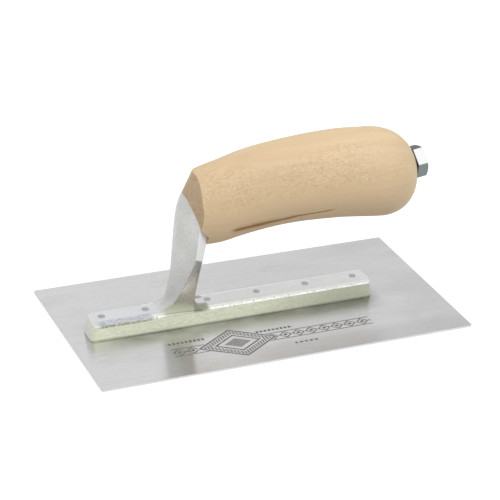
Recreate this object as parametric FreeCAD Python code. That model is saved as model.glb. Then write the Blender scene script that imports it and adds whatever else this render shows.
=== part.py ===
import FreeCAD, Part
import math
import os

from FreeCAD import Vector

# Blade: origin at the centre of its underside
BLADE_LENGTH = 190.5
BLADE_WIDTH = 101.6
BLADE_THICKNESS = 0.8
BLADE_CORNER_RADIUS = 0.8

# Bar of the mounting, lying on the blade
BAR_FRONT_X = -85.8
BAR_REAR_X = 62.0
BAR_HALF_WIDTH = 8.0
BAR_TOP_HALF_WIDTH = 7.3
BAR_SHOULDER_HEIGHT = 7.6
BAR_CROWN_HEIGHT = 8.8
BAR_FRONT_RIGHT_RADIUS = 2.2
BAR_FRONT_LEFT_RADIUS = 7.2
BAR_REAR_CORNER_RADIUS = 2.5
BAR_FRONT_SLOPE = 1.6
BAR_REAR_SLOPE = 1.0
BAR_SIDE_SLOPE = 0.8
BAR_EDGE_RADIUS = 1.3

# Shank: height above the blade, front x, side ridge x and half width,
# rear corner x and half width, front radius
SHANK_SECTIONS = [
    (5.0, -48.6, -46.9, 4.4, -30.2, 7.0, 2.0),
    (9.0, -47.3, -45.4, 4.6, -32.0, 7.0, 2.0),
    (13.0, -46.3, -43.2, 5.2, -32.6, 7.0, 3.0),
    (19.0, -46.1, -40.3, 6.8, -32.1, 7.0, 5.0),
    (27.0, -46.0, -37.5, 9.0, -31.0, 7.2, 8.0),
    (37.0, -45.5, -34.9, 11.3, -29.4, 7.6, 8.0),
    (52.0, -44.2, -33.9, 12.2, -27.2, 8.0, 8.0),
    (60.0, -43.1, -32.9, 12.4, -26.2, 8.2, 8.0),
    (68.0, -40.0, -30.4, 12.6, -24.0, 8.4, 8.0),
    (78.0, -34.9, -26.0, 12.8, -20.0, 8.6, 8.0),
]
SHANK_STEPS = 14
SHANK_SIDE_RADIUS = 0.9
SHANK_REAR_RADIUS = 1.5

# Foot of the shank: how far the fillet spreads over the bar, along it and across it
FOOT_LOW = 8.0
FOOT_HIGH = 14.0
FOOT_STEPS = 4
FOOT_SPREAD_FRONT = 4.6
FOOT_SPREAD_REAR = 3.6
FOOT_WIDENING = 0.8
FOOT_POWER = 2.6

# Nose: x of its front ridge, sweep of its right side and of its left side, and height;
# the wood lies a little inside it
NOSE_RIDGE_RADIUS = 10.0
NOSE_TOP = (-28.4, -0.22, 0.55, 92.0)
NOSE_BREAK = (-45.4, 0.84, 0.84, 58.0)
NOSE_BASE = (-72.0, 0.84, 0.84, 0.0)
WOOD_INSET = 0.2
FACE_TOP = (-41.5, 0.80, 0.80, 92.0)
FACE_BASE = (-45.5, 0.80, 0.80, 20.0)

# Arched seat of the wood on the shank, falling towards the rear
SEAT_APEX_X = -39.1
SEAT_APEX_Z = 69.2
SEAT_FALL = 1.5
SEAT_RADIUS = 14.5
SEAT_ARC_HALF_WIDTH = 11.5
SEAT_HALF_WIDTH = 22.0
HEEL_X = -28.7
HEEL_Z = 47.0
HEEL_LEAN = 0.115

# Handle: x, height of the centre, half height, half width
HANDLE_SECTIONS = [
    (-50.0, 57.0, 18.4, 12.2),
    (-32.0, 59.9, 19.3, 13.4),
    (-20.0, 61.7, 20.6, 14.6),
    (-5.0, 65.0, 21.1, 15.5),
    (15.0, 67.3, 21.3, 16.6),
    (40.0, 67.6, 22.2, 18.0),
    (60.0, 65.9, 22.7, 18.6),
]
HANDLE_STEPS = 16
DOME_LENGTH = 23.0
DOME_POWER = 2.4
DOME_STEPS = 8
DOME_LAST_ANGLE = 84.0
DOME_DROP = 3.4

# Bolt along the handle
BOLT_SEAT_X = 81.2
BOLT_SEAT_Z = 67.3
BOLT_TILT = 8.0
BOLT_RADIUS = 3.95
BOLT_LENGTH = 119.0
BOLT_TIP_CHAMFER = 0.8
BORE_RADIUS = 4.4
SOCKET_RADIUS = 4.0
SOCKET_DEPTH = 120.5
HEAD_ACROSS_FLATS = 14.3
HEAD_HEIGHT = 6.2
HEAD_COLLAR_RADIUS = 6.6
HEAD_COLLAR_HEIGHT = 0.7
HEAD_TURN = 16.0
HEAD_CROWN_SHARE = 0.96
HEAD_CROWN_ANGLE = 30.0
SPOT_FACE_RADIUS = 8.6

# Rivets
RIVET_X = [-78.0, -55.8, -23.9, 2.0, 28.2, 54.1]
RIVET_RADIUS = 1.6
RIVET_HEAD_RADIUS = 2.4
RIVET_HEAD_DEPTH = 0.8
RIVET_TOP_RADIUS = 1.75
RIVET_TOP_RISE = 0.14
RIVET_TOP_CHAMFER = 0.08

# How close two heights or lengths must be to count as the same
MATCH = 0.01


def tangent(rows, index, column):
    low = max(index - 1, 0)
    high = min(index + 1, len(rows) - 1)
    return (rows[high][column] - rows[low][column]) / (rows[high][0] - rows[low][0])


def row_between(rows, position):
    index = 0
    while index < len(rows) - 2 and position > rows[index + 1][0]:
        index += 1
    span = rows[index + 1][0] - rows[index][0]
    t = (position - rows[index][0]) / span
    values = [position]
    for column in range(1, len(rows[0])):
        start = rows[index][column]
        end = rows[index + 1][column]
        leave = tangent(rows, index, column) * span
        arrive = tangent(rows, index + 1, column) * span
        smooth = (2 * t ** 3 - 3 * t ** 2 + 1) * start + (t ** 3 - 2 * t ** 2 + t) * leave
        values.append(smooth + (3 * t ** 2 - 2 * t ** 3) * end + (t ** 3 - t ** 2) * arrive)
    return values


def even_rows(rows, steps):
    span = rows[-1][0] - rows[0][0]
    return [row_between(rows, rows[0][0] + span * step / steps) for step in range(steps + 1)]


def rounded_outline(corners, radii):
    starts, ends, middles = [], [], []
    count = len(corners)
    for index in range(count):
        here = corners[index]
        back = corners[index - 1].sub(here).normalize()
        ahead = corners[(index + 1) % count].sub(here).normalize()
        half_angle = back.getAngle(ahead) / 2.0
        reach = radii[index] / math.tan(half_angle)
        bisector = back.add(ahead).normalize()
        centre = here.add(Vector(bisector).multiply(radii[index] / math.sin(half_angle)))
        starts.append(here.add(Vector(back).multiply(reach)))
        ends.append(here.add(Vector(ahead).multiply(reach)))
        middles.append(centre.sub(Vector(bisector).multiply(radii[index])))
    edges = []
    for index in range(count):
        following = (index + 1) % count
        edges.append(Part.Arc(starts[index], middles[index], ends[index]).toShape())
        edges.append(Part.makeLine(ends[index], starts[following]))
    return Part.Wire(edges)


def rectangle(x_low, x_high, half_width, z):
    return [
        Vector(x_low, -half_width, z),
        Vector(x_high, -half_width, z),
        Vector(x_high, half_width, z),
        Vector(x_low, half_width, z),
    ]


def on_bolt_axis(shape):
    shape.rotate(Vector(0, 0, 0), Vector(0, 1, 0), -BOLT_TILT)
    shape.translate(Vector(BOLT_SEAT_X, 0, BOLT_SEAT_Z))
    return shape


def axis_cylinder(radius, start, length):
    return on_bolt_axis(Part.makeCylinder(radius, length, Vector(start, 0, 0), Vector(1, 0, 0)))


def rivet_shank_height():
    return BLADE_THICKNESS + BAR_CROWN_HEIGHT


def rivet(x):
    countersink = Part.makeCone(RIVET_HEAD_RADIUS, RIVET_RADIUS, RIVET_HEAD_DEPTH, Vector(x, 0, 0))
    stem = Part.makeCylinder(RIVET_RADIUS, rivet_shank_height(), Vector(x, 0, 0))
    upset = Part.makeCylinder(RIVET_TOP_RADIUS, RIVET_TOP_RISE, Vector(x, 0, rivet_shank_height()))
    upset = upset.makeChamfer(RIVET_TOP_CHAMFER, [upset.Edges[0]])
    return stem.fuse([countersink, upset]).removeSplitter()


def rivet_holes():
    holes = []
    for x in RIVET_X:
        holes.append(Part.makeCylinder(RIVET_RADIUS, 30, Vector(x, 0, -1)))
        holes.append(Part.makeCone(RIVET_HEAD_RADIUS, RIVET_RADIUS, RIVET_HEAD_DEPTH, Vector(x, 0, 0)))
    return holes


def blade():
    corners = rectangle(-BLADE_LENGTH / 2, BLADE_LENGTH / 2, BLADE_WIDTH / 2, 0)
    outline = Part.Face(rounded_outline(corners, [BLADE_CORNER_RADIUS] * 4))
    return outline.extrude(Vector(0, 0, BLADE_THICKNESS)).cut(rivet_holes())


def is_shoulder(edge, height):
    box = edge.BoundBox
    return box.XLength > 1 and abs(box.ZMin - height) < MATCH and abs(box.ZMax - height) < MATCH


def bar():
    base = BLADE_THICKNESS
    shoulder = base + BAR_SHOULDER_HEIGHT
    crown = base + BAR_CROWN_HEIGHT
    right_foot = Vector(BAR_FRONT_X, -BAR_HALF_WIDTH, base)
    left_foot = Vector(BAR_FRONT_X, BAR_HALF_WIDTH, base)
    right_shoulder = Vector(BAR_FRONT_X, -BAR_TOP_HALF_WIDTH, shoulder)
    left_shoulder = Vector(BAR_FRONT_X, BAR_TOP_HALF_WIDTH, shoulder)
    profile = Part.Wire([
        Part.makeLine(right_foot, left_foot),
        Part.makeLine(left_foot, left_shoulder),
        Part.Arc(left_shoulder, Vector(BAR_FRONT_X, 0, crown), right_shoulder).toShape(),
        Part.makeLine(right_shoulder, right_foot),
    ])
    strip = Part.Face(profile).extrude(Vector(BAR_REAR_X - BAR_FRONT_X, 0, 0))
    shoulders = [edge for edge in strip.Edges if is_shoulder(edge, shoulder)]
    strip = strip.makeFillet(BAR_EDGE_RADIUS, shoulders)
    wide = BAR_HALF_WIDTH + MATCH
    rear = BAR_REAR_CORNER_RADIUS
    radii = [BAR_FRONT_RIGHT_RADIUS, rear, rear, BAR_FRONT_LEFT_RADIUS]
    lower = rectangle(BAR_FRONT_X, BAR_REAR_X, wide, base)
    upper_front = BAR_FRONT_X + BAR_FRONT_SLOPE
    upper_rear = BAR_REAR_X - BAR_REAR_SLOPE
    upper = rectangle(upper_front, upper_rear, wide - BAR_SIDE_SLOPE, crown + 1)
    outlines = [rounded_outline(lower, radii), rounded_outline(upper, radii)]
    return strip.common(Part.makeLoft(outlines, True, True))


def shank_outline(height, front_x, side_x, side_half, rear_x, rear_half, front_radius):
    z = height + BLADE_THICKNESS
    corners = [
        Vector(front_x, 0, z),
        Vector(side_x, -side_half, z),
        Vector(rear_x, -rear_half, z),
        Vector(rear_x, rear_half, z),
        Vector(side_x, side_half, z),
    ]
    radii = [front_radius, SHANK_SIDE_RADIUS, SHANK_REAR_RADIUS, SHANK_REAR_RADIUS, SHANK_SIDE_RADIUS]
    return rounded_outline(corners, radii)


def prow_outline(front_x, right_sweep, left_sweep, z):
    reach = 40.0
    rear_x = 160.0
    corners = [
        Vector(front_x, 0, z),
        Vector(front_x + right_sweep * reach, -reach, z),
        Vector(rear_x, -reach, z),
        Vector(rear_x, reach, z),
        Vector(front_x + left_sweep * reach, reach, z),
    ]
    return rounded_outline(corners, [NOSE_RIDGE_RADIUS, 1, 1, 1, 1])


def prow(levels):
    return Part.makeLoft([prow_outline(*level) for level in levels], True, True)


def nose_bevel(inset):
    levels = (NOSE_BASE, NOSE_BREAK, NOSE_TOP)
    return prow([(x + inset, right, left, z) for x, right, left, z in levels])


def nose_face():
    return prow([FACE_BASE, FACE_TOP])


def under_seat():
    start_x = -62.0
    apex = SEAT_APEX_Z + SEAT_FALL * (SEAT_APEX_X - start_x)
    centre = apex - SEAT_RADIUS
    arc_z = centre + math.sqrt(SEAT_RADIUS ** 2 - SEAT_ARC_HALF_WIDTH ** 2)
    slope = SEAT_ARC_HALF_WIDTH / (arc_z - centre)
    edge_z = arc_z - slope * (SEAT_HALF_WIDTH - SEAT_ARC_HALF_WIDTH)
    floor = -120.0
    left_arc = Vector(start_x, -SEAT_ARC_HALF_WIDTH, arc_z)
    right_arc = Vector(start_x, SEAT_ARC_HALF_WIDTH, arc_z)
    left_edge = Vector(start_x, -SEAT_HALF_WIDTH, edge_z)
    right_edge = Vector(start_x, SEAT_HALF_WIDTH, edge_z)
    left_floor = Vector(start_x, -SEAT_HALF_WIDTH, floor)
    right_floor = Vector(start_x, SEAT_HALF_WIDTH, floor)
    outline = Part.Wire([
        Part.Arc(left_arc, Vector(start_x, 0, apex), right_arc).toShape(),
        Part.makeLine(right_arc, right_edge),
        Part.makeLine(right_edge, right_floor),
        Part.makeLine(right_floor, left_floor),
        Part.makeLine(left_floor, left_edge),
        Part.makeLine(left_edge, left_arc),
    ])
    length = 90.0
    return Part.Face(outline).extrude(Vector(length, 0, -SEAT_FALL * length))


def in_front_of_heel():
    low = 0.0
    high = 110.0
    front = -80.0
    side = 30.0
    outline = Part.makePolygon([
        Vector(front, -side, low),
        Vector(HEEL_X - HEEL_LEAN * (HEEL_Z - low), -side, low),
        Vector(HEEL_X + HEEL_LEAN * (high - HEEL_Z), -side, high),
        Vector(front, -side, high),
        Vector(front, -side, low),
    ])
    return Part.Face(outline).extrude(Vector(0, 2 * side, 0))


def foot_outline(height):
    flare = ((FOOT_HIGH - height) / (FOOT_HIGH - FOOT_LOW)) ** FOOT_POWER
    _, front_x, side_x, side_half, rear_x, rear_half, front_radius = row_between(SHANK_SECTIONS, height)
    return shank_outline(
        height,
        front_x - FOOT_SPREAD_FRONT * flare,
        side_x - FOOT_SPREAD_FRONT * flare,
        side_half + 2 * FOOT_WIDENING * flare,
        rear_x + FOOT_SPREAD_REAR * flare,
        rear_half + FOOT_WIDENING * flare,
        front_radius,
    )


def foot():
    rise = (FOOT_HIGH - FOOT_LOW) / FOOT_STEPS
    outlines = [foot_outline(FOOT_LOW + rise * step) for step in range(FOOT_STEPS + 1)]
    return Part.makeLoft(outlines, True, False, False, 3)


def shank():
    outlines = [shank_outline(*section) for section in even_rows(SHANK_SECTIONS, SHANK_STEPS)]
    body = Part.makeLoft(outlines, True, False, False, 3)
    return body.common(under_seat()).common(nose_bevel(0))


def mounting():
    body = bar().fuse([shank(), foot()]).removeSplitter()
    body = body.cut(axis_cylinder(SOCKET_RADIUS, -SOCKET_DEPTH, SOCKET_DEPTH))
    return body.cut(rivet_holes())


def handle_outline(x, centre, half_height, half_width):
    middle = Vector(x, 0, centre)
    top = Vector(x, 0, centre + half_height)
    side = Vector(x, half_width, centre)
    return Part.Wire(Part.Ellipse(top, side, middle).toShape())


def dome_outlines():
    start, centre, half_height, half_width = HANDLE_SECTIONS[-1]
    outlines = []
    for step in range(1, DOME_STEPS + 1):
        angle = math.radians(DOME_LAST_ANGLE * step / DOME_STEPS)
        reach = math.sin(angle) ** (2 / DOME_POWER)
        shrink = math.cos(angle) ** (2 / DOME_POWER)
        x = start + DOME_LENGTH * reach
        z = centre - DOME_DROP * reach
        outlines.append(handle_outline(x, z, half_height * shrink, half_width * shrink))
    return outlines


def handle():
    grip = [handle_outline(*section) for section in even_rows(HANDLE_SECTIONS, HANDLE_STEPS)]
    body = Part.makeLoft(grip + dome_outlines(), True, False, False, 3)
    body = body.common(nose_bevel(WOOD_INSET)).common(nose_face())
    body = body.cut(under_seat().common(in_front_of_heel()))
    body = body.cut(shank())
    body = body.cut(axis_cylinder(BORE_RADIUS, -140, 140))
    return body.cut(axis_cylinder(SPOT_FACE_RADIUS, 0, 20))


def handle_bolt():
    corner_radius = HEAD_ACROSS_FLATS / math.sqrt(3)
    corners = []
    for index in range(7):
        angle = math.radians(HEAD_TURN + 60 * index)
        corners.append(Vector(0, -corner_radius * math.sin(angle), corner_radius * math.cos(angle)))
    hexagon = Part.Face(Part.makePolygon(corners)).extrude(Vector(HEAD_HEIGHT, 0, 0))
    flare = HEAD_HEIGHT / math.tan(math.radians(HEAD_CROWN_ANGLE))
    crown_radius = HEAD_ACROSS_FLATS / 2 * HEAD_CROWN_SHARE
    along = Vector(1, 0, 0)
    chamfer = Part.makeCone(crown_radius + flare, crown_radius, HEAD_HEIGHT, Vector(0, 0, 0), along)
    collar = Part.makeCylinder(HEAD_COLLAR_RADIUS, HEAD_COLLAR_HEIGHT, Vector(0, 0, 0), along)
    stem = Part.makeCylinder(BOLT_RADIUS, BOLT_LENGTH, Vector(-BOLT_LENGTH, 0, 0), along)
    tip = [edge for edge in stem.Edges if abs(edge.BoundBox.XMax + BOLT_LENGTH) < MATCH]
    stem = stem.makeChamfer(BOLT_TIP_CHAMFER, tip)
    head = hexagon.common(chamfer)
    head.translate(Vector(HEAD_COLLAR_HEIGHT, 0, 0))
    return on_bolt_axis(stem.fuse([collar, head]).removeSplitter())


def single_solid(shape):
    return max(shape.Solids, key=lambda solid: solid.Volume)


def save(name, shape):
    single_solid(shape).exportStep("parts/" + name + ".step")


os.makedirs("parts", exist_ok=True)
save("blade", blade())
save("mounting", mounting())
save("handle", handle())
save("handle_bolt", handle_bolt())
for number, rivet_x in enumerate(RIVET_X, start=1):
    save("rivet_" + str(number), rivet(rivet_x))
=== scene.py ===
import math

import bpy
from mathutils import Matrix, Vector


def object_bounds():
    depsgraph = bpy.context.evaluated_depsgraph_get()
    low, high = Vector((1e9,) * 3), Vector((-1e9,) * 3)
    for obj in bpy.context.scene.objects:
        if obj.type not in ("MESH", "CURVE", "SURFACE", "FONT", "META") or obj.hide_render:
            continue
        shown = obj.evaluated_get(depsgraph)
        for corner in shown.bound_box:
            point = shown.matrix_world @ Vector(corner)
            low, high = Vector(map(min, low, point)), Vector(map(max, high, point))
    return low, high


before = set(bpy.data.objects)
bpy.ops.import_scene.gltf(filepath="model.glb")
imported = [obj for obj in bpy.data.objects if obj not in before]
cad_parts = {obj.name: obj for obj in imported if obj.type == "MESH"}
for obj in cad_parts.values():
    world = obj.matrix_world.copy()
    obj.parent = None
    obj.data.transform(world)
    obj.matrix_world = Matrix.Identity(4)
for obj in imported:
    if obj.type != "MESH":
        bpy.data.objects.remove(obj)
cad_low, cad_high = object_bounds()

MM = 0.001
PER_METRE = 1000.0

# Camera in the row frame: place in metres, turn in degrees, lens and sensor in millimetres,
# nearest and farthest distance it sees in metres
CAMERA_PLACE = (-0.3550, -0.7758, 0.45837)
CAMERA_TURN = (63.437, -2.445, -23.223)
CAMERA_LENS = 142.12
SENSOR = 36.0
CLIP_NEAR = 0.05
CLIP_FAR = 50.0

# Light of the surroundings: sine of the elevation, brightness. It is slightly blue.
SKY = [(-1.0, 0.43), (-0.04, 0.45), (0.04, 0.52), (0.20, 0.97), (0.60, 0.95), (0.85, 0.62)]
SKY_BLUE = 1.01

# Key light: places and side in metres, power in watts
KEY_PLACE = (0.50, -0.56, 1.00)
KEY_TARGET = (0, 0, 0.05)
KEY_SIDE = 0.6
KEY_POWER = 4.3

# Floor, and a round wall at its edge that only the camera sees: sizes in metres.
# The mottling of their finish is so wide and faint that they look plain.
FLOOR_HALF_SIDE = 4.0
FLOOR_GAP = 0.3 * MM
FLOOR_MOTTLE = 0.01
FLOOR_GLOW = 0.30
BACKDROP_RADIUS = 3.9
BACKDROP_HEIGHT = 3.0
BACKDROP_GAP = 1.0 * MM
BACKDROP_SIDES = 48
BACKDROP_MOTTLE = 0.001
BACKDROP_GLOW = 0.70

# Places and lengths from here on are in millimetres in the row frame. A pair is a fade:
# a layer of the finish changes gradually from the first place to the second.

# Brushed blade: the shade along it, the painted shade beside the bar, the darker near edge
SHADE_X = (-80.0, 85.0)
BAR_SHADE_FRONT_X = (-88.0, -60.0)
BAR_SHADE_REAR_X = (68.0, 55.0)
BAR_SHADE_SIDE_Y = (23.0, 7.5)
NEAR_PART_X = (-35.0, -5.0)
NEAR_PART_Y = (-34.0, -42.0)

# Etched band, emblem and rows of dashes on the blade
BAND_START_X = -53.0
BAND_END_X = 50.0
BAND_Y = -30.0
BAND_HALF_HEIGHT = 3.6
BAND_PITCH = 6.8
LOZENGE_HALF_HEIGHT = 3.0
RULE_INSET = 0.3
MARK_SOFTNESS = 0.1
EMBLEM_X = -20.0
EMBLEM_Y = -30.0
EMBLEM_HALF_LENGTH = 20.0
EMBLEM_HALF_HEIGHT = 13.0
HATCH_PITCH = 1.5
# Rows of dashes: first x, last x, y, half height, pitch
DASH_ROWS = [
    (-53.0, -34.0, -21.6, 0.9, 2.1),
    (-8.0, 11.0, -23.6, 0.8, 2.1),
    (6.0, 18.0, -39.0, 0.6, 2.6),
]

# Cast bar: its ground sides, its top, the rough edge between them with its painted highlight, the painted
# contact shadow where it sits on the blade
BAR_SIDE_Z = (9.6, 8.8)
BAR_TOP_Z = (11.0, 10.0)
GROUND_SHADE_X = (-10.0, 50.0)
ROUGH_EDGE_Y = 6.6
ROUGH_EDGE_Z = 8.9
ROUGH_EDGE_FRONT_X = -51.5
ROUGH_EDGE_REAR_X = (-31.0, -26.0)
ROUGH_EDGE_FALL_X = (-5.0, 45.0)
EDGE_SHADOW_Y = 7.3
EDGE_SHADOW_Z = 8.4
CONTACT_SHADE_Z = (2.0, 0.85)

# Strip and painted shadow line at the front of the bar
FRONT_STRETCH_X = -68.0
FRONT_STRIP_Y = -5.9
SHADOW_LINE_Y = -7.4
SHADOW_LINE_Z = 8.2

# Shank: its front face, its side facets with their painted reflections, and the foot where it meets the bar,
# with painted shade at its rear
FRONT_FACE_Z = (10.0, 12.0)
FRONT_FACE_SHADE_Z = (42.0, 16.0)
FACET_Z = (9.4, 12.0)
FACET_REFLECTION_Z = (10.0, 36.0)
FACET_REAR_X = (-35.5, -31.5)
FACET_BREAK_X = -36.0
FACET_BREAK_Z = (37.8, 38.8)
FACET_BREAK_SLOPE = 0.65
FOOT_FLANK_X = -38.5
FOOT_FLANK_Z = 10.0
FOOT_REAR_X = -29.5
FOOT_REAR_Z = 10.5

# Wood: the dark streak, the slope of the grain, and where the wood is flecked or has painted shade
STREAK_START_X = -19.0
STREAK_END_X = 36.0
STREAK_START_Z = 51.0
STREAK_RISE = 5.0
STREAK_WANDER = 1.2
STREAK_SIDE_Y = (-4.0, -6.0)
GRAIN_MIDDLE_X = 40.0
GRAIN_SLOPE = 0.10
FLECKS_BOTTOM_Z = (64.0, 73.0)
FLECKS_TOP_Z = (90.0, 84.0)
LOWER_PART_Z = (72.0, 58.0)
CUT_END_Z = (90.0, 62.0)
DOME_X = (58.0, 80.0)

# Seat of the bolt head, its tilt in degrees, and the painted shade in the gap under it, measured along the
# bolt
BOLT_SEAT_X = 81.2
BOLT_SEAT_Z = 67.3
BOLT_TILT = 8.0
CREVICE = (1.5, 1.0)


def grey(level, warmth=0.0):
    return (level * (1 + warmth), level, level * (1 - warmth), 1.0)


def tone(red, green, blue):
    return (red, green, blue, 1.0)


WHITE = tone(1, 1, 1)

# Blade
STEEL_TONES = [(0.05, grey(0.75)), (0.45, grey(0.70, -0.004)), (0.95, grey(0.61, 0.004))]
BRUSH_GREY = grey(0.46)
SMUDGE_GREY = grey(0.44, 0.01)
NEAR_GREY = grey(0.40, 0.02)
BAR_SHADE_BROWN = tone(0.19, 0.18, 0.17)
SPECK_GREY = grey(0.30)
ETCHED_GREY = grey(0.13, 0.03)
CUT_EDGE_HIGHLIGHT = grey(0.90)

# Casting
CAST_TONES = [(0.30, tone(0.72, 0.73, 0.68)), (0.70, tone(0.81, 0.81, 0.78))]
CAST_SPECKLE = grey(0.48)
BAR_TOP_BLUE = tone(0.76, 0.78, 0.81)
BAR_END_GREEN = tone(0.84, 0.87, 0.78)
FRONT_FACE_GREY = grey(0.50)
FACET_REFLECTION_TONES = [(0.0, tone(0.46, 0.45, 0.35)), (0.45, tone(0.58, 0.54, 0.47)), (1.0, tone(0.46, 0.46, 0.43))]
FACET_EDGE_OLIVE = tone(0.22, 0.22, 0.16)
PIT_GREY = grey(0.30)
GROUND_TONES = [(0.34, tone(0.66, 0.71, 0.50)), (0.62, tone(0.94, 0.97, 0.78))]
GROUND_SHADE = tone(0.34, 0.36, 0.27)
GROUND_LINE = tone(0.42, 0.44, 0.30)
EDGE_SHADOW = tone(0.45, 0.48, 0.36)
EDGE_HIGHLIGHT = tone(1.0, 1.0, 0.98)
STRIP_BLUE = tone(0.37, 0.40, 0.49)
STRIP_HIGHLIGHT = tone(0.98, 0.98, 1.0)
FRONT_SHADOW_LINE = tone(0.22, 0.24, 0.18)
FLANK_OLIVE = tone(0.46, 0.48, 0.34)
FOOT_REAR_SHADE = tone(0.20, 0.21, 0.15)
CONTACT_SHADE_OLIVE = tone(0.14, 0.15, 0.10)

# Wood
WOOD_TONES = [(0.28, tone(0.75, 0.56, 0.335)), (0.5, tone(0.795, 0.60, 0.37)), (0.72, tone(0.84, 0.65, 0.41))]
FIBRE_BROWN = tone(0.66, 0.45, 0.24)
WARM_BROWN = tone(0.80, 0.54, 0.30)
LOWER_SHADE_BROWN = tone(0.60, 0.45, 0.29)
FLECK_BROWN = tone(0.58, 0.38, 0.17)
GLINT_GOLD = tone(0.95, 0.77, 0.53)
END_GRAIN_AND_SHADE_BROWN = tone(0.48, 0.36, 0.23)
END_LINE_BROWN = tone(0.38, 0.26, 0.15)
DOME_SHADE_BROWN = tone(0.56, 0.43, 0.26)
HALO_BROWN = tone(0.60, 0.36, 0.13)
STREAK_BROWN = tone(0.27, 0.135, 0.035)

# Bolt and rivets
PLATED_TONES = [(0.30, tone(0.66, 0.69, 0.70)), (0.70, tone(0.79, 0.81, 0.81))]
SCUFF_GREY = grey(0.45)
BOLT_UNDERSIDE_SHADE = tone(0.125, 0.15, 0.145)
BOLT_TOP_SHADE = grey(0.05)
BOLT_SLANT_DARK = grey(0.19)
BOLT_SLANT_LIGHT = grey(0.27)
BOLT_CROWN_GREY = grey(0.16)
CREVICE_SHADE = grey(0.035)
RIVET_TONES = [(0.30, grey(0.36, -0.03)), (0.70, grey(0.56, -0.03))]

# Floor and backdrop
STAGE_TONES = [(0.3, grey(0.93)), (0.7, grey(0.96))]


class Paint:
    """The node tree of one material, with a short call for each kind of node."""

    def __init__(self, name):
        self.material = bpy.data.materials.new(name)
        self.material.use_nodes = True
        self.tree = self.material.node_tree
        self.tree.nodes.clear()
        self.shader = self.node("ShaderNodeBsdfPrincipled")
        output = self.node("ShaderNodeOutputMaterial")
        self.tree.links.new(self.shader.outputs[0], output.inputs["Surface"])
        coordinates = self.node("ShaderNodeTexCoord")
        self.place = self.scaled(coordinates.outputs["Object"], (PER_METRE,) * 3)
        axes = self.node("ShaderNodeSeparateXYZ")
        self.tree.links.new(self.place, axes.inputs[0])
        self.x, self.y, self.z = axes.outputs[:3]
        normal = self.node("ShaderNodeSeparateXYZ")
        self.tree.links.new(coordinates.outputs["Normal"], normal.inputs[0])
        self.normal_x, self.normal_y, self.normal_z = normal.outputs[:3]

    def node(self, kind):
        return self.tree.nodes.new(kind)

    def feed(self, socket, value):
        if isinstance(value, bpy.types.NodeSocket):
            self.tree.links.new(value, socket)
        else:
            socket.default_value = value

    def set(self, name, value):
        self.feed(self.shader.inputs[name], value)

    def scaled(self, vector, scale):
        mapping = self.node("ShaderNodeMapping")
        self.feed(mapping.inputs["Vector"], vector)
        mapping.inputs["Scale"].default_value = scale
        return mapping.outputs[0]

    def noise(self, stretch, detail=4.0, roughness=0.5, distortion=0.0):
        texture = self.node("ShaderNodeTexNoise")
        self.feed(texture.inputs["Vector"], self.scaled(self.place, stretch))
        texture.inputs["Scale"].default_value = 1.0
        texture.inputs["Detail"].default_value = detail
        texture.inputs["Roughness"].default_value = roughness
        texture.inputs["Distortion"].default_value = distortion
        return texture.outputs[0]

    def calc(self, operation, first, second=0.0, third=0.0):
        step = self.node("ShaderNodeMath")
        step.operation = operation
        for socket, value in zip(step.inputs, (first, second, third)):
            self.feed(socket, value)
        return step.outputs[0]

    def between(self, value, low, high, start=0.0, end=1.0):
        step = self.node("ShaderNodeMapRange")
        step.interpolation_type = "SMOOTHSTEP"
        for socket, setting in zip(step.inputs, (value, low, high, start, end)):
            self.feed(socket, setting)
        return step.outputs[0]

    def near(self, value, centre, reach, edge):
        gap = self.calc("ABSOLUTE", self.calc("SUBTRACT", value, centre))
        return self.between(gap, reach + edge, reach)

    def both(self, first, second):
        return self.calc("MULTIPLY", first, second)

    def either(self, first, second):
        return self.calc("MAXIMUM", first, second)

    def blend(self, factor, first, second):
        step = self.node("ShaderNodeMix")
        step.data_type = "RGBA"
        self.feed(step.inputs[0], factor)
        self.feed(step.inputs[6], first)
        self.feed(step.inputs[7], second)
        return step.outputs[2]

    def layer(self, under, mask, strength, tint):
        """Lay a colour over another one, as strongly as the mask says."""
        return self.blend(self.both(mask, strength), under, tint)

    def ramp(self, factor, stops):
        step = self.node("ShaderNodeValToRGB")
        step.color_ramp.interpolation = "EASE"
        for position, colour in stops[2:]:
            step.color_ramp.elements.new(position)
        for element, (position, colour) in zip(step.color_ramp.elements, stops):
            element.position = position
            element.color = colour
        self.feed(step.inputs[0], factor)
        return step.outputs[0]

    def bump(self, height, strength, depth):
        step = self.node("ShaderNodeBump")
        step.inputs["Strength"].default_value = strength
        step.inputs["Distance"].default_value = depth
        self.feed(step.inputs["Height"], height)
        self.feed(self.shader.inputs["Normal"], step.outputs[0])


def band_mask(paint):
    """A row of lozenges between two thin lines."""
    half_length = (BAND_END_X - BAND_START_X) / 2
    inside = paint.both(
        paint.near(paint.x, (BAND_START_X + BAND_END_X) / 2, half_length, MARK_SOFTNESS),
        paint.near(paint.y, BAND_Y, BAND_HALF_HEIGHT, MARK_SOFTNESS),
    )
    half_pitch = BAND_PITCH / 2
    wrapped = paint.calc("WRAP", paint.calc("SUBTRACT", paint.x, BAND_START_X), BAND_PITCH, 0.0)
    along = paint.calc("ABSOLUTE", paint.calc("SUBTRACT", wrapped, half_pitch))
    across = paint.calc("ABSOLUTE", paint.calc("SUBTRACT", paint.y, BAND_Y))
    share_along = paint.calc("DIVIDE", along, half_pitch)
    distance = paint.calc("ADD", share_along, paint.calc("DIVIDE", across, LOZENGE_HALF_HEIGHT))
    outline = paint.near(distance, 0.86, 0.12, 0.05)
    core = paint.near(distance, 0.0, 0.34, 0.06)
    rules = paint.near(across, BAND_HALF_HEIGHT - RULE_INSET, 0.26, 0.08)
    return paint.both(inside, paint.either(paint.either(outline, core), rules))


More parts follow.
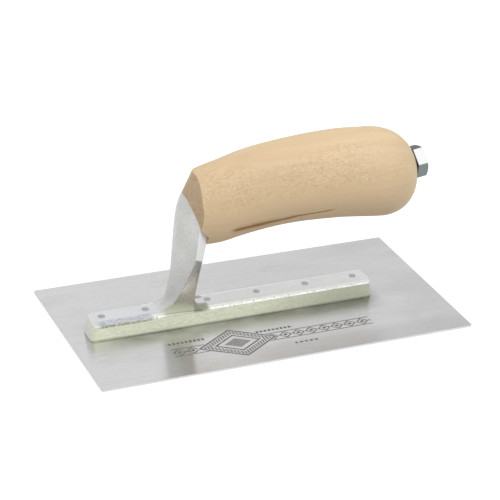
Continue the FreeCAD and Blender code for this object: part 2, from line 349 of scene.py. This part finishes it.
def emblem_mask(paint):
    """Marks of the lozenge emblem, and the area that it covers."""
    along = paint.calc("ABSOLUTE", paint.calc("SUBTRACT", paint.x, EMBLEM_X))
    across = paint.calc("ABSOLUTE", paint.calc("SUBTRACT", paint.y, EMBLEM_Y))
    along = paint.calc("DIVIDE", along, EMBLEM_HALF_LENGTH)
    distance = paint.calc("ADD", along, paint.calc("DIVIDE", across, EMBLEM_HALF_HEIGHT))
    rim = paint.near(distance, 0.97, 0.035, 0.012)
    inner = paint.near(distance, 0.56, 0.035, 0.012)
    hatching = paint.between(paint.calc("WRAP", paint.x, HATCH_PITCH, 0.0), 0.45, 0.55)
    fill = paint.both(paint.near(distance, 0.78, 0.11, 0.01), paint.both(hatching, 0.85))
    heart = paint.both(paint.near(distance, 0.0, 0.34, 0.01), 0.75)
    marks = paint.either(paint.either(rim, inner), paint.either(fill, heart))
    return marks, paint.near(distance, 0.0, 1.04, 0.01)


def dash_mask(paint, start_x, end_x, y, half_height, pitch):
    """A row of short dashes."""
    inside = paint.both(
        paint.near(paint.x, (start_x + end_x) / 2, (end_x - start_x) / 2, MARK_SOFTNESS),
        paint.near(paint.y, y, half_height, MARK_SOFTNESS),
    )
    wrapped = paint.calc("WRAP", paint.x, pitch, 0.0)
    along = paint.calc("ABSOLUTE", paint.calc("SUBTRACT", wrapped, pitch / 2))
    return paint.both(inside, paint.between(along, pitch * 0.36, pitch * 0.30))


def etching(paint):
    """All marks on the blade, generic shapes in the place of the lettering."""
    emblem, covered = emblem_mask(paint)
    band = paint.both(band_mask(paint), paint.calc("SUBTRACT", 1.0, covered))
    marks = paint.either(emblem, band)
    for row in DASH_ROWS:
        marks = paint.either(marks, dash_mask(paint, *row))
    return marks


def bar_shade_mask(paint, smudge):
    """Painted shade in patches on the blade, on both sides of the bar."""
    lengthways = paint.both(paint.between(paint.x, *BAR_SHADE_FRONT_X), paint.between(paint.x, *BAR_SHADE_REAR_X))
    sideways = paint.between(paint.calc("ABSOLUTE", paint.y), *BAR_SHADE_SIDE_Y)
    patches = paint.between(smudge, 0.20, 0.65, 0.55, 1.0)
    return paint.both(paint.both(sideways, lengthways), patches)


def blade_colour(paint, brushing, marks, cut_edge):
    cloud = paint.noise((0.018, 0.05, 0.1), detail=3.0, distortion=0.8)
    smudge = paint.noise((0.05, 0.09, 0.1), detail=4.0, roughness=0.6, distortion=0.5)
    mottle = paint.between(paint.noise((0.35, 0.6, 0.6), detail=5.0, roughness=0.7), 0.35, 0.70)
    specks = paint.between(paint.noise((0.5, 0.7, 0.7), detail=1.0), 0.76, 0.80)
    worn = paint.between(paint.noise((1.2, 1.2, 1.2), detail=3.0), 0.25, 0.60, 0.68, 0.95)
    lengthways = paint.both(paint.between(paint.x, *SHADE_X), 0.75)
    clouding = paint.both(paint.calc("SUBTRACT", cloud, 0.5), 0.9)
    near_part = paint.both(paint.between(paint.y, *NEAR_PART_Y), paint.between(paint.x, *NEAR_PART_X))
    colour = paint.ramp(paint.calc("ADD", lengthways, clouding), STEEL_TONES)
    colour = paint.layer(colour, paint.between(brushing, 0.35, 0.65), 0.13, BRUSH_GREY)
    colour = paint.layer(colour, mottle, 0.10, SMUDGE_GREY)
    colour = paint.layer(colour, paint.between(smudge, 0.50, 0.72), 0.16, SMUDGE_GREY)
    colour = paint.layer(colour, near_part, 0.26, NEAR_GREY)
    # Painted shade on the blade beside the bar, in patches
    colour = paint.layer(colour, bar_shade_mask(paint, smudge), 0.82, BAR_SHADE_BROWN)
    colour = paint.layer(colour, specks, 0.25, SPECK_GREY)
    colour = paint.layer(colour, marks, worn, ETCHED_GREY)
    # The cut edges carry a painted highlight: near white and hardly metallic
    return paint.blend(cut_edge, colour, CUT_EDGE_HIGHLIGHT)


def blade_steel():
    paint = Paint("blade_steel")
    brushing = paint.noise((0.03, 5.5, 5.5), detail=6.0, roughness=0.65)
    scratches = paint.between(paint.noise((0.05, 11.0, 11.0), detail=2.0), 0.62, 0.72)
    marks = etching(paint)
    cut_edge = paint.between(paint.normal_z, 0.7, 0.4)
    paint.set("Base Color", blade_colour(paint, brushing, marks, cut_edge))
    paint.set("Metallic", paint.between(cut_edge, 0.0, 1.0, 1.0, 0.1))
    rough = paint.between(brushing, 0.2, 0.8, 0.21, 0.28)
    rough = paint.calc("ADD", rough, paint.both(scratches, 0.08))
    rough = paint.calc("ADD", rough, paint.both(cut_edge, 0.4))
    paint.set("Roughness", paint.calc("ADD", rough, paint.both(marks, 0.40)))
    brush_direction = paint.node("ShaderNodeTangent")
    brush_direction.direction_type = "RADIAL"
    brush_direction.axis = "X"
    paint.set("Tangent", brush_direction.outputs[0])
    paint.set("Anisotropic", 0.85)
    height = paint.calc("SUBTRACT", paint.both(brushing, 0.35), paint.both(scratches, 0.3))
    height = paint.calc("SUBTRACT", height, paint.both(marks, 0.4))
    paint.bump(height, strength=0.30, depth=0.02 * MM)
    return paint.material


def bar_zones(paint, facing_side):
    """Masks of the bar's long sides, its top and its front end."""
    below_top = paint.between(paint.z, *BAR_SIDE_Z)
    upright = paint.both(paint.between(facing_side, 0.30, 0.60), paint.between(paint.normal_z, 0.50, 0.30))
    side = paint.both(upright, below_top)
    top = paint.both(paint.between(paint.normal_z, 0.75, 0.95), paint.between(paint.z, *BAR_TOP_Z))
    front_end = paint.both(paint.between(paint.normal_x, -0.6, -0.85), below_top)
    return side, top, front_end


def facet_zones(paint, facing_side):
    """Masks of the shank's side facets: whole, part above the break, part below it."""
    facet = paint.both(paint.between(paint.normal_x, -0.50, -0.35), paint.between(facing_side, 0.35, 0.55))
    facet = paint.both(facet, paint.between(paint.z, *FACET_Z))
    behind_break = paint.calc("SUBTRACT", paint.x, FACET_BREAK_X)
    height = paint.calc("MULTIPLY_ADD", behind_break, FACET_BREAK_SLOPE, paint.z)
    upper = paint.both(facet, paint.between(height, *FACET_BREAK_Z))
    return facet, upper, paint.calc("SUBTRACT", facet, upper)


def shank_layers(paint, colour, speckle, upper, lower):
    """The shank's front face, darker towards the bottom, its upper side facets painted white as a reflection
    and its lower ones painted in olive and brown tones as a reflection.
    """
    front_face = paint.both(paint.between(paint.normal_x, -0.5, -0.7), paint.between(paint.z, *FRONT_FACE_Z))
    darkening = paint.between(paint.z, *FRONT_FACE_SHADE_Z, 0.0, 0.40)
    facet_reflection = paint.ramp(paint.between(paint.z, *FACET_REFLECTION_Z), FACET_REFLECTION_TONES)
    rear_edge = paint.both(lower, paint.between(paint.x, *FACET_REAR_X))
    colour = paint.layer(colour, front_face, darkening, FRONT_FACE_GREY)
    # Painted reflection: the upper facets are painted white, the lower ones in olive and brown tones
    colour = paint.blend(upper, colour, WHITE)
    colour = paint.blend(lower, colour, facet_reflection)
    colour = paint.layer(colour, rear_edge, 0.55, FACET_EDGE_OLIVE)
    return paint.layer(colour, paint.both(lower, speckle), 0.20, PIT_GREY)


def ground_side(paint, grinding):
    """The greenish ground face of the bar, duller towards the rear."""
    lines = paint.between(paint.noise((0.03, 1.0, 4.5), detail=3.0, roughness=0.6), 0.56, 0.66)
    colour = paint.ramp(grinding, GROUND_TONES)
    colour = paint.layer(colour, paint.between(paint.x, *GROUND_SHADE_X), 0.60, GROUND_SHADE)
    return paint.layer(colour, lines, 0.30, GROUND_LINE)


def rough_edge_mask(paint, facing_side, across, ragged):
    """The broken line along the bar's upper edges, in front of the foot and behind it, where a highlight is
    painted.
    """
    on_edge = paint.both(
        paint.near(across, ROUGH_EDGE_Y, 1.2, 0.5),
        paint.both(paint.near(paint.z, ROUGH_EDGE_Z, 1.0, 0.3), paint.between(facing_side, 0.97, 0.90)),
    )
    front = paint.near(paint.x, ROUGH_EDGE_FRONT_X, 2.5, 2.0)
    clear_of_foot = paint.either(front, paint.between(paint.x, *ROUGH_EDGE_REAR_X))
    return paint.both(on_edge, paint.both(clear_of_foot, paint.between(ragged, 0.40, 0.48)))


def edge_layers(paint, colour, across, ragged, rough_edge):
    """The painted highlight on the rough edge, weaker towards the rear, over the patchy shadow below it."""
    shadow = paint.both(paint.near(across, EDGE_SHADOW_Y, 0.5, 0.3), paint.between(ragged, 0.48, 0.38))
    shadow = paint.both(shadow, paint.near(paint.z, EDGE_SHADOW_Z, 0.9, 0.2))
    whiteness = paint.between(paint.x, *ROUGH_EDGE_FALL_X, 0.95, 0.50)
    colour = paint.layer(colour, shadow, 0.6, EDGE_SHADOW)
    # Painted highlight along the rough edge
    return paint.layer(colour, rough_edge, whiteness, EDGE_HIGHLIGHT)


def front_strip_layers(paint, colour, top, ragged):
    """The dull, bluish strip with painted highlight blotches, and the painted shadow line along the near edge
    of the bar's front.
    """
    stretch = paint.near(paint.x, FRONT_STRETCH_X, 12.0, 3.0)
    strip = paint.both(paint.near(paint.y, FRONT_STRIP_Y, 1.2, 1.4), paint.both(top, stretch))
    crumbs = paint.noise((2.0, 2.6, 2.6), detail=5.0, roughness=0.75, distortion=0.6)
    blotches = paint.noise((0.35, 0.9, 0.9), detail=3.0, distortion=0.5)
    patches = paint.both(strip, paint.between(blotches, 0.38, 0.56, 0.25, 1.0))
    dull = paint.both(patches, paint.between(crumbs, 0.38, 0.56))
    # Painted highlight blotches in the strip
    bright = paint.both(strip, paint.between(crumbs, 0.44, 0.34, 0.0, 0.7))
    # Painted shadow line along the near edge, below the strip
    line = paint.both(paint.near(paint.y, SHADOW_LINE_Y, 0.4, 0.3), paint.near(paint.z, SHADOW_LINE_Z, 0.9, 0.3))
    line = paint.both(line, paint.both(stretch, paint.between(ragged, 0.60, 0.40, 0.4, 1.0)))
    colour = paint.layer(colour, dull, 0.95, STRIP_BLUE)
    colour = paint.blend(bright, colour, STRIP_HIGHLIGHT)
    return paint.layer(colour, line, 0.9, FRONT_SHADOW_LINE)


def foot_layers(paint, colour, across):
    """Darker olive on the sides of the shank's foot, and painted shade at its rear."""
    flank = paint.both(paint.near(paint.x, FOOT_FLANK_X, 8.0, 5.0), paint.between(across, 3.0, 5.5))
    flank = paint.both(flank, paint.near(paint.z, FOOT_FLANK_Z, 1.6, 1.5))
    rear = paint.both(paint.near(paint.x, FOOT_REAR_X, 3.0, 2.0), paint.near(paint.z, FOOT_REAR_Z, 2.0, 1.5))
    rear = paint.both(rear, paint.between(across, 1.5, 3.5))
    colour = paint.layer(colour, flank, 0.75, FLANK_OLIVE)
    # Painted shade at the rear of the foot
    return paint.layer(colour, rear, 0.7, FOOT_REAR_SHADE)


def cast_alloy():
    paint = Paint("cast_alloy")
    grain = paint.noise((1.6, 1.6, 1.6), detail=6.0, roughness=0.62)
    speckle = paint.between(paint.noise((1.1, 1.1, 1.1), detail=4.0, roughness=0.7), 0.38, 0.62)
    cloud = paint.noise((0.08, 0.12, 0.08), detail=3.0, distortion=0.4)
    grinding = paint.noise((0.38, 2.2, 2.6), detail=6.0, roughness=0.78, distortion=0.6)
    ragged = paint.noise((0.8, 0.8, 0.8), detail=5.0, roughness=0.75)
    across = paint.calc("ABSOLUTE", paint.y)
    facing_side = paint.calc("ABSOLUTE", paint.normal_y)
    side, top, front_end = bar_zones(paint, facing_side)
    facet, upper_facet, lower_facet = facet_zones(paint, facing_side)
    rough_edge = rough_edge_mask(paint, facing_side, across, ragged)
    pits = paint.between(paint.noise((0.9, 0.9, 0.9), detail=2.0), 0.66, 0.76)
    pits = paint.both(pits, paint.between(upper_facet, 1.0, 0.0))

    colour = paint.ramp(cloud, CAST_TONES)
    colour = paint.layer(colour, speckle, 0.30, CAST_SPECKLE)
    colour = paint.layer(colour, top, 0.6, BAR_TOP_BLUE)
    colour = paint.layer(colour, front_end, 0.8, BAR_END_GREEN)
    colour = shank_layers(paint, colour, speckle, upper_facet, lower_facet)
    colour = paint.blend(side, colour, ground_side(paint, grinding))
    colour = edge_layers(paint, colour, across, ragged, rough_edge)
    colour = front_strip_layers(paint, colour, top, ragged)
    colour = foot_layers(paint, colour, across)
    colour = paint.layer(colour, pits, 0.35, PIT_GREY)
    # Painted contact shadow at the bottom of the casting, where it sits on the blade
    colour = paint.layer(colour, paint.between(paint.z, *CONTACT_SHADE_Z), 0.6, CONTACT_SHADE_OLIVE)
    paint.set("Base Color", colour)

    metal = paint.between(paint.either(side, front_end), 0.0, 1.0, 0.35, 0.15)
    paint.set("Metallic", paint.both(metal, paint.between(upper_facet, 1.0, 0.0)))
    rough = paint.between(grain, 0.2, 0.8, 0.36, 0.52)
    paint.set("Roughness", paint.calc("SUBTRACT", rough, paint.both(facet, 0.15)))
    height = paint.calc("SUBTRACT", paint.calc("ADD", grain, paint.both(speckle, 0.3)), paint.both(pits, 0.8))
    height = paint.calc("ADD", height, paint.both(side, paint.both(grinding, 1.2)))
    height = paint.calc("ADD", height, paint.both(rough_edge, paint.both(ragged, 1.5)))
    height = paint.both(height, paint.between(facet, 0.0, 1.0, 1.0, 0.3))
    paint.bump(height, strength=0.40, depth=0.14 * MM)
    return paint.material


def streak_masks(paint):
    """The dark streak on the near side of the handle, and the warm halo round it."""
    length = STREAK_END_X - STREAK_START_X
    along = paint.calc("DIVIDE", paint.calc("SUBTRACT", paint.x, STREAK_START_X), length)
    centre = paint.calc("MULTIPLY_ADD", along, STREAK_RISE, STREAK_START_Z)
    drift = paint.calc("SUBTRACT", paint.noise((0.10, 0.2, 0.2), detail=3.0), 0.5)
    centre = paint.calc("ADD", centre, paint.both(drift, STREAK_WANDER))
    gap = paint.calc("ABSOLUTE", paint.calc("SUBTRACT", paint.z, centre))
    half_width = paint.between(along, 0.25, 0.80, 1.3, 0.45)
    distance = paint.calc("DIVIDE", gap, half_width)
    ends = paint.both(paint.between(along, 0.0, 0.08), paint.between(along, 1.0, 0.9))
    zone = paint.both(ends, paint.between(paint.y, *STREAK_SIDE_Y))
    streak = paint.both(paint.between(distance, 1.0, 0.35), zone)
    halo = paint.both(paint.between(distance, 2.4, 0.8), zone)
    return streak, halo


def grain_layers(paint, fibres, flecks):
    """Growth rings, fibres, painted shade on the lower part, and the flecked zone along the handle."""
    rings = paint.noise((0.006, 0.16, 0.13), detail=3.0, distortion=1.2)
    warm = paint.noise((0.02, 0.05, 0.05), detail=2.0)
    glints = paint.noise((0.70, 0.85, 0.85), detail=3.0, roughness=0.7, distortion=0.5)
    forward = paint.calc("SUBTRACT", GRAIN_MIDDLE_X, paint.x)
    height = paint.calc("MULTIPLY_ADD", forward, GRAIN_SLOPE, paint.z)
    zone = paint.both(paint.between(height, *FLECKS_BOTTOM_Z), paint.between(height, *FLECKS_TOP_Z))
    patches = paint.between(paint.noise((0.03, 0.09, 0.09), detail=2.0), 0.35, 0.60, 0.3, 1.0)
    zone = paint.both(patches, paint.between(zone, 0.0, 1.0, 0.15, 1.0))
    colour = paint.ramp(rings, WOOD_TONES)
    colour = paint.layer(colour, fibres, 0.25, FIBRE_BROWN)
    colour = paint.layer(colour, warm, 0.25, WARM_BROWN)
    # Painted shade on the lower part of the handle
    colour = paint.layer(colour, paint.between(height, *LOWER_PART_Z), 0.20, LOWER_SHADE_BROWN)
    colour = paint.layer(colour, paint.both(flecks, zone), 0.50, FLECK_BROWN)
    return paint.layer(colour, paint.both(paint.between(glints, 0.54, 0.66), zone), 0.55, GLINT_GOLD)


def cut_end_layers(paint, colour):
    """The cut front end: darker, partly as end grain and partly as painted shade that deepens towards the
    bottom, and lined with end grain.
    """
    cut_end = paint.between(paint.normal_x, -0.35, -0.55)
    end_grain = paint.noise((0.4, 0.5, 1.9), detail=4.0, roughness=0.7)
    end_lines = paint.both(cut_end, paint.between(end_grain, 0.44, 0.62))
    darkening = paint.between(paint.z, *CUT_END_Z, 0.12, 0.62)
    # End grain colour and painted shade, deeper towards the bottom
    colour = paint.layer(colour, cut_end, darkening, END_GRAIN_AND_SHADE_BROWN)
    return paint.layer(colour, end_lines, 0.42, END_LINE_BROWN)


def handle_wood():
    paint = Paint("handle_wood")
    fibres = paint.noise((0.10, 3.0, 3.0), detail=5.0, roughness=0.6)
    flecks = paint.noise((0.60, 0.95, 0.95), detail=4.0, roughness=0.7, distortion=0.8)
    flecks = paint.between(flecks, 0.46, 0.62)
    streak, halo = streak_masks(paint)
    colour = grain_layers(paint, fibres, flecks)
    colour = cut_end_layers(paint, colour)
    # Painted shade on the domed rear end of the handle
    colour = paint.blend(paint.between(paint.x, *DOME_X, 0.0, 0.50), colour, DOME_SHADE_BROWN)
    colour = paint.layer(colour, halo, 0.65, HALO_BROWN)
    colour = paint.layer(colour, streak, 0.95, STREAK_BROWN)
    paint.set("Base Color", colour)
    paint.set("Roughness", paint.between(fibres, 0.2, 0.8, 0.42, 0.58))
    paint.set("Coat Weight", 0.08)
    paint.set("Coat Roughness", 0.4)
    height = paint.calc("SUBTRACT", paint.both(fibres, 0.6), paint.both(flecks, 0.5))
    height = paint.calc("SUBTRACT", height, paint.both(streak, 2.0))
    paint.bump(height, strength=0.22, depth=0.08 * MM)
    return paint.material


def crevice_shade_mask(paint):
    """Painted shade in the gap between the bolt head and the wood, measured along the bolt."""
    tilt = math.radians(BOLT_TILT)
    along = paint.calc("MULTIPLY", paint.calc("SUBTRACT", paint.x, BOLT_SEAT_X), math.cos(tilt))
    above_seat = paint.calc("SUBTRACT", paint.z, BOLT_SEAT_Z)
    along = paint.calc("MULTIPLY_ADD", above_seat, math.sin(tilt), along)
    return paint.between(along, *CREVICE)


def plated_steel():
    paint = Paint("plated_steel")
    cloud = paint.noise((0.25, 0.4, 0.4), detail=4.0)
    scuffs = paint.between(paint.noise((0.6, 3.0, 3.0), detail=3.0), 0.60, 0.75)
    facing_down = paint.between(paint.normal_z, 0.05, -0.25)
    facing_up = paint.between(paint.normal_z, 0.72, 0.88)
    slanting = paint.both(paint.near(paint.normal_z, 0.4, 0.3, 0.1), paint.between(paint.normal_x, 0.5, 0.3))
    crown = paint.both(paint.between(paint.normal_x, 0.30, 0.45), paint.between(paint.normal_x, 0.90, 0.80))
    crevice = crevice_shade_mask(paint)
    colour = paint.ramp(cloud, PLATED_TONES)
    colour = paint.layer(colour, scuffs, 0.3, SCUFF_GREY)
    # Painted shade on the downward-facing faces of the bolt head
    colour = paint.layer(colour, facing_down, 0.92, BOLT_UNDERSIDE_SHADE)
    # Painted dark reflection on the upward-facing faces of the bolt head
    colour = paint.blend(facing_up, colour, BOLT_TOP_SHADE)
    colour = paint.blend(slanting, colour, paint.blend(cloud, BOLT_SLANT_DARK, BOLT_SLANT_LIGHT))
    colour = paint.layer(colour, crown, 0.6, BOLT_CROWN_GREY)
    # Painted shade in the gap between the bolt head and the wood
    colour = paint.blend(crevice, colour, CREVICE_SHADE)
    paint.set("Base Color", colour)
    paint.set("Metallic", paint.between(crevice, 0.0, 1.0, 1.0, 0.2))
    rough = paint.between(cloud, 0.2, 0.8, 0.14, 0.26)
    paint.set("Roughness", paint.calc("ADD", rough, paint.both(crevice, 0.5)))
    paint.bump(paint.calc("ADD", paint.both(cloud, 0.5), scuffs), strength=0.15, depth=0.03 * MM)
    return paint.material


def rivet_metal():
    paint = Paint("rivet_metal")
    grain = paint.noise((1.8, 1.8, 1.8), detail=5.0)
    paint.set("Base Color", paint.ramp(grain, RIVET_TONES))
    paint.set("Metallic", 0.8)
    paint.set("Roughness", paint.between(grain, 0.2, 0.8, 0.35, 0.55))
    paint.bump(grain, strength=0.4, depth=0.1 * MM)
    return paint.material


def stage_finish(name, mottle_scale, glow):
    paint = Paint(name)
    mottle = paint.noise((mottle_scale,) * 3, detail=3.0)
    paint.set("Base Color", paint.ramp(mottle, STAGE_TONES))
    paint.set("Roughness", 0.9)
    paint.set("Specular IOR Level", 0.0)
    paint.set("Emission Color", WHITE)
    paint.set("Emission Strength", glow)
    return paint.material


def dress(node, material):
    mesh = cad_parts[node].data
    mesh.materials.clear()
    mesh.materials.append(material)


def stage_piece(name, points, faces, material):
    mesh = bpy.data.meshes.new(name)
    mesh.from_pydata(points, [], faces)
    mesh.materials.append(material)
    piece = bpy.data.objects.new(name, mesh)
    bpy.context.scene.collection.objects.link(piece)
    piece.visible_diffuse = False
    return piece


def stage_floor():
    side = FLOOR_HALF_SIDE
    below = cad_low.z - FLOOR_GAP
    corners = [(-side, -side, below), (side, -side, below), (side, side, below), (-side, side, below)]
    finish = stage_finish("floor_finish", FLOOR_MOTTLE, FLOOR_GLOW)
    floor = stage_piece("floor", corners, [(0, 1, 2, 3)], finish)


def stage_backdrop():
    points = []
    for step in range(BACKDROP_SIDES):
        turn = math.tau * step / BACKDROP_SIDES
        x = BACKDROP_RADIUS * math.cos(turn)
        y = BACKDROP_RADIUS * math.sin(turn)
        points += [(x, y, cad_low.z - BACKDROP_GAP), (x, y, BACKDROP_HEIGHT)]
    count = len(points)
    faces = [(low, (low + 2) % count, (low + 3) % count, low + 1) for low in range(0, count, 2)]
    finish = stage_finish("backdrop_finish", BACKDROP_MOTTLE, BACKDROP_GLOW)
    backdrop = stage_piece("backdrop", points, faces, finish)
    backdrop.visible_glossy = False
    backdrop.visible_shadow = False


def key_light():
    data = bpy.data.lights.new("key", "AREA")
    data.shape = "RECTANGLE"
    data.size = KEY_SIDE
    data.size_y = KEY_SIDE
    data.energy = KEY_POWER
    light = bpy.data.objects.new("key", data)
    light.location = KEY_PLACE
    light.rotation_euler = (Vector(KEY_TARGET) - Vector(KEY_PLACE)).to_track_quat("-Z", "Y").to_euler()
    bpy.context.scene.collection.objects.link(light)


def sky():
    world = bpy.data.worlds.new("studio")
    bpy.context.scene.world = world
    world.use_nodes = True
    nodes, links = world.node_tree.nodes, world.node_tree.links
    coordinates = nodes.new("ShaderNodeTexCoord")
    axes = nodes.new("ShaderNodeSeparateXYZ")
    links.new(coordinates.outputs["Generated"], axes.inputs[0])
    height = nodes.new("ShaderNodeMapRange")
    links.new(axes.outputs[2], height.inputs[0])
    height.inputs[1].default_value = -1.0
    ramp = nodes.new("ShaderNodeValToRGB")
    links.new(height.outputs[0], ramp.inputs[0])
    elements = ramp.color_ramp.elements
    while len(elements) < len(SKY):
        elements.new(0.5)
    for element, (sine, level) in zip(elements, SKY):
        element.position = (sine + 1) / 2
        element.color = (level, level, level * SKY_BLUE, 1)
    links.new(ramp.outputs[0], nodes["Background"].inputs["Color"])


def camera():
    data = bpy.data.cameras.new("camera")
    data.lens = CAMERA_LENS
    data.sensor_width = SENSOR
    data.clip_start = CLIP_NEAR
    data.clip_end = CLIP_FAR
    view = bpy.data.objects.new("camera", data)
    view.location = CAMERA_PLACE
    view.rotation_euler = [math.radians(angle) for angle in CAMERA_TURN]
    bpy.context.scene.collection.objects.link(view)
    bpy.context.scene.camera = view


dress("blade", blade_steel())
dress("mounting", cast_alloy())
dress("handle", handle_wood())
dress("handle_bolt", plated_steel())
rivet_finish = rivet_metal()
for node in sorted(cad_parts):
    if node.startswith("rivet_"):
        dress(node, rivet_finish)

camera()
stage_floor()
stage_backdrop()
sky()
key_light()
bpy.context.scene.view_settings.view_transform = "Standard"
